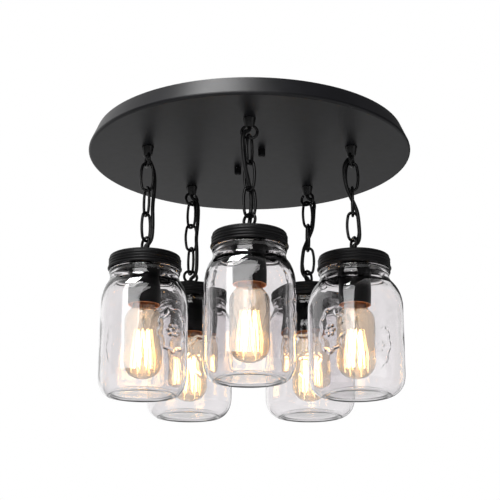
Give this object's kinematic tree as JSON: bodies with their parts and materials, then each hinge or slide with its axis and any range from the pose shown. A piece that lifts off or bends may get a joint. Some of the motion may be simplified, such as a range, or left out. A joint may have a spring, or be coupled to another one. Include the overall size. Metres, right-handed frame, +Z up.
{
  "type": "ceiling light",
  "caption": "Semi-flush ceiling light: a round pan holds short chains, and each chain carries a screw-top glass jar with a bulb inside.",
  "frame": {"origin": "middle of the ceiling plane: centre of the pan's rim and of the top face of its mounting bar", "axes": "+Z up into the ceiling, everything hangs below z = 0; -Y towards the front pendant, +X to the right as seen from the front"},
  "size_m": [0.3999, 0.4, 0.3319],
  "materials": {
    "pan_black": "satin black powder coat",
    "chain_black": "semi-gloss black",
    "lid_black": "satin black",
    "socket_black": "satin black",
    "clear_glass": "polished clear",
    "amber_glass": "polished, amber tint",
    "base_metal": "bright rolled thread",
    "zinc_steel": "zinc plated",
    "cord_black": "smooth jacket",
    "connector_plastic": "moulded",
    "lead_plastic": "smooth insulation, one lead black and one white"
  },
  "bodies": {
    "canopy": {"ceiling_pan": "pan_black", "mounting_bar": "zinc_steel", "bar_studs": "zinc_steel", "stud_nuts": "zinc_steel", "cap_nuts": "pan_black", "pan_loops": "chain_black", "loop_nuts": "zinc_steel", "wire_connectors": "connector_plastic", "pan_leads": "lead_plastic", "power_cords": "cord_black"},
    "front_link_top": {"front_link_top": "chain_black"},
    "front_link_mid": {"front_link_mid": "chain_black"},
    "front_link_low": {"front_link_low": "chain_black"},
    "front_lid": {"front_lid_disc": "lid_black", "front_lid_loop": "chain_black", "front_socket": "socket_black"},
    "front_band": {"front_lid_band": "lid_black"},
    "front_jar": {"front_jar": "clear_glass"},
    "front_bulb": {"front_bulb_glass": "amber_glass", "front_bulb_base": "base_metal"},
    "left_link_top": {"left_link_top": "chain_black"},
    "left_link_mid": {"left_link_mid": "chain_black"},
    "left_link_low": {"left_link_low": "chain_black"},
    "left_lid": {"left_lid_disc": "lid_black", "left_lid_loop": "chain_black", "left_socket": "socket_black"},
    "left_band": {"left_lid_band": "lid_black"},
    "left_jar": {"left_jar": "clear_glass"},
    "left_bulb": {"left_bulb_glass": "amber_glass", "left_bulb_base": "base_metal"},
    "back_left_link_top": {"back_left_link_top": "chain_black"},
    "back_left_link_mid": {"back_left_link_mid": "chain_black"},
    "back_left_link_low": {"back_left_link_low": "chain_black"},
    "back_left_lid": {"back_left_lid_disc": "lid_black", "back_left_lid_loop": "chain_black", "back_left_socket": "socket_black"},
    "back_left_band": {"back_left_lid_band": "lid_black"},
    "back_left_jar": {"back_left_jar": "clear_glass"},
    "back_left_bulb": {"back_left_bulb_glass": "amber_glass", "back_left_bulb_base": "base_metal"},
    "back_right_link_top": {"back_right_link_top": "chain_black"},
    "back_right_link_mid": {"back_right_link_mid": "chain_black"},
    "back_right_link_low": {"back_right_link_low": "chain_black"},
    "back_right_lid": {"back_right_lid_disc": "lid_black", "back_right_lid_loop": "chain_black", "back_right_socket": "socket_black"},
    "back_right_band": {"back_right_lid_band": "lid_black"},
    "back_right_jar": {"back_right_jar": "clear_glass"},
    "back_right_bulb": {"back_right_bulb_glass": "amber_glass", "back_right_bulb_base": "base_metal"},
    "right_link_top": {"right_link_top": "chain_black"},
    "right_link_mid": {"right_link_mid": "chain_black"},
    "right_link_low": {"right_link_low": "chain_black"},
    "right_lid": {"right_lid_disc": "lid_black", "right_lid_loop": "chain_black", "right_socket": "socket_black"},
    "right_band": {"right_lid_band": "lid_black"},
    "right_jar": {"right_jar": "clear_glass"},
    "right_bulb": {"right_bulb_glass": "amber_glass", "right_bulb_base": "base_metal"}
  },
  "joints": [
    {"name": "front_swing_1", "type": "hinge", "parent": "canopy", "child": "front_link_top", "pos_m": [0, -0.1305, -0.04895], "axis": [1, 0, 0], "range_deg": [-10, 10], "deforming": ["power_cords"]},
    {"name": "front_swing_2", "type": "hinge", "parent": "front_link_top", "child": "front_link_mid", "pos_m": [0, -0.1305, -0.0808], "axis": [-0.4067, -0.9135, 0], "range_deg": [-10, 10], "deforming": ["power_cords"]},
    {"name": "front_swing_3", "type": "hinge", "parent": "front_link_mid", "child": "front_link_low", "pos_m": [0, -0.1305, -0.11265], "axis": [-0.766, 0.6428, 0], "range_deg": [-10, 10], "deforming": ["power_cords"]},
    {"name": "front_swing_4", "type": "hinge", "parent": "front_link_low", "child": "front_lid", "pos_m": [0, -0.1305, -0.1445], "axis": [-0.8988, -0.4384, 0], "range_deg": [-10, 10], "deforming": ["power_cords"]},
    {"name": "front_band_turn", "type": "hinge", "parent": "front_lid", "child": "front_band", "pos_m": [0, -0.1305, -0.1725], "axis": [0, 0, 1], "range_deg": [0, 540]},
    {"name": "front_jar_travel", "type": "slide", "parent": "front_lid", "child": "front_jar", "axis": [0, 0, -1], "range_m": [0, 0.0075]},
    {"name": "front_bulb_travel", "type": "slide", "parent": "front_lid", "child": "front_bulb", "axis": [0, 0, -1], "range_m": [0, 0.011]},
    {"name": "left_swing_1", "type": "hinge", "parent": "canopy", "child": "left_link_top", "pos_m": [-0.12411, -0.04033, -0.04895], "axis": [0.309, -0.9511, 0], "range_deg": [-10, 10], "deforming": ["power_cords"]},
    {"name": "left_swing_2", "type": "hinge", "parent": "left_link_top", "child": "left_link_mid", "pos_m": [-0.12411, -0.04033, -0.0808], "axis": [-0.9848, -0.1736, 0], "range_deg": [-10, 10], "deforming": ["power_cords"]},
    {"name": "left_swing_3", "type": "hinge", "parent": "left_link_mid", "child": "left_link_low", "pos_m": [-0.12411, -0.04033, -0.11265], "axis": [0.4848, -0.8746, 0], "range_deg": [-10, 10], "deforming": ["power_cords"]},
    {"name": "left_swing_4", "type": "hinge", "parent": "left_link_low", "child": "left_lid", "pos_m": [-0.12411, -0.04033, -0.1445], "axis": [0.6018, 0.7986, 0], "range_deg": [-10, 10], "deforming": ["power_cords"]},
    {"name": "left_band_turn", "type": "hinge", "parent": "left_lid", "child": "left_band", "pos_m": [-0.12411, -0.04033, -0.1725], "axis": [0, 0, 1], "range_deg": [0, 540]},
    {"name": "left_jar_travel", "type": "slide", "parent": "left_lid", "child": "left_jar", "axis": [0, 0, -1], "range_m": [0, 0.0075]},
    {"name": "left_bulb_travel", "type": "slide", "parent": "left_lid", "child": "left_bulb", "axis": [0, 0, -1], "range_m": [0, 0.011]},
    {"name": "back_left_swing_1", "type": "hinge", "parent": "canopy", "child": "back_left_link_top", "pos_m": [-0.07671, 0.10558, -0.04895], "axis": [0.809, 0.5878, 0], "range_deg": [-10, 10], "deforming": ["power_cords"]},
    {"name": "back_left_swing_2", "type": "hinge", "parent": "back_left_link_top", "child": "back_left_link_mid", "pos_m": [-0.07671, 0.10558, -0.0808], "axis": [-0.7071, 0.7071, 0], "range_deg": [-10, 10], "deforming": ["power_cords"]},
    {"name": "back_left_swing_3", "type": "hinge", "parent": "back_left_link_mid", "child": "back_left_link_low", "pos_m": [-0.07671, 0.10558, -0.11265], "axis": [0.9397, 0.342, 0], "range_deg": [-10, 10], "deforming": ["power_cords"]},
    {"name": "back_left_swing_4", "type": "hinge", "parent": "back_left_link_low", "child": "back_left_lid", "pos_m": [-0.07671, 0.10558, -0.1445], "axis": [0.4848, -0.8746, 0], "range_deg": [-10, 10], "deforming": ["power_cords"]},
    {"name": "back_left_band_turn", "type": "hinge", "parent": "back_left_lid", "child": "back_left_band", "pos_m": [-0.07671, 0.10558, -0.1725], "axis": [0, 0, 1], "range_deg": [0, 540]},
    {"name": "back_left_jar_travel", "type": "slide", "parent": "back_left_lid", "child": "back_left_jar", "axis": [0, 0, -1], "range_m": [0, 0.0075]},
    {"name": "back_left_bulb_travel", "type": "slide", "parent": "back_left_lid", "child": "back_left_bulb", "axis": [0, 0, -1], "range_m": [0, 0.011]},
    {"name": "back_right_swing_1", "type": "hinge", "parent": "canopy", "child": "back_right_link_top", "pos_m": [0.07671, 0.10558, -0.04895], "axis": [0.809, -0.5878, 0], "range_deg": [-10, 10], "deforming": ["power_cords"]},
    {"name": "back_right_swing_2", "type": "hinge", "parent": "back_right_link_top", "child": "back_right_link_mid", "pos_m": [0.07671, 0.10558, -0.0808], "axis": [0.829, 0.5592, 0], "range_deg": [-10, 10], "deforming": ["power_cords"]},
    {"name": "back_right_swing_3", "type": "hinge", "parent": "back_right_link_mid", "child": "back_right_link_low", "pos_m": [0.07671, 0.10558, -0.11265], "axis": [-0.1736, 0.9848, 0], "range_deg": [-10, 10], "deforming": ["power_cords"]},
    {"name": "back_right_swing_4", "type": "hinge", "parent": "back_right_link_low", "child": "back_right_lid", "pos_m": [0.07671, 0.10558, -0.1445], "axis": [-0.9962, 0.0872, 0], "range_deg": [-10, 10], "deforming": ["power_cords"]},
    {"name": "back_right_band_turn", "type": "hinge", "parent": "back_right_lid", "child": "back_right_band", "pos_m": [0.07671, 0.10558, -0.1725], "axis": [0, 0, 1], "range_deg": [0, 540]},
    {"name": "back_right_jar_travel", "type": "slide", "parent": "back_right_lid", "child": "back_right_jar", "axis": [0, 0, -1], "range_m": [0, 0.0075]},
    {"name": "back_right_bulb_travel", "type": "slide", "parent": "back_right_lid", "child": "back_right_bulb", "axis": [0, 0, -1], "range_m": [0, 0.011]},
    {"name": "right_swing_1", "type": "hinge", "parent": "canopy", "child": "right_link_top", "pos_m": [0.12411, -0.04033, -0.04895], "axis": [0.309, 0.9511, 0], "range_deg": [-10, 10], "deforming": ["power_cords"]},
    {"name": "right_swing_2", "type": "hinge", "parent": "right_link_top", "child": "right_link_mid", "pos_m": [0.12411, -0.04033, -0.0808], "axis": [1, 0, 0], "range_deg": [-10, 10], "deforming": ["power_cords"]},
    {"name": "right_swing_3", "type": "hinge", "parent": "right_link_mid", "child": "right_link_low", "pos_m": [0.12411, -0.04033, -0.11265], "axis": [-0.0349, -0.9994, 0], "range_deg": [-10, 10], "deforming": ["power_cords"]},
    {"name": "right_swing_4", "type": "hinge", "parent": "right_link_low", "child": "right_lid", "pos_m": [0.12411, -0.04033, -0.1445], "axis": [-0.9659, -0.2588, 0], "range_deg": [-10, 10], "deforming": ["power_cords"]},
    {"name": "right_band_turn", "type": "hinge", "parent": "right_lid", "child": "right_band", "pos_m": [0.12411, -0.04033, -0.1725], "axis": [0, 0, 1], "range_deg": [0, 540]},
    {"name": "right_jar_travel", "type": "slide", "parent": "right_lid", "child": "right_jar", "axis": [0, 0, -1], "range_m": [0, 0.0075]},
    {"name": "right_bulb_travel", "type": "slide", "parent": "right_lid", "child": "right_bulb", "axis": [0, 0, -1], "range_m": [0, 0.011]}
  ],
  "couplings": [
    {"joint": "front_band_turn", "follows": "front_jar_travel", "rad_per_m": 1256.6},
    {"joint": "left_band_turn", "follows": "left_jar_travel", "rad_per_m": 1256.6},
    {"joint": "back_left_band_turn", "follows": "back_left_jar_travel", "rad_per_m": 1256.6},
    {"joint": "back_right_band_turn", "follows": "back_right_jar_travel", "rad_per_m": 1256.6},
    {"joint": "right_band_turn", "follows": "right_jar_travel", "rad_per_m": 1256.6}
  ]
}
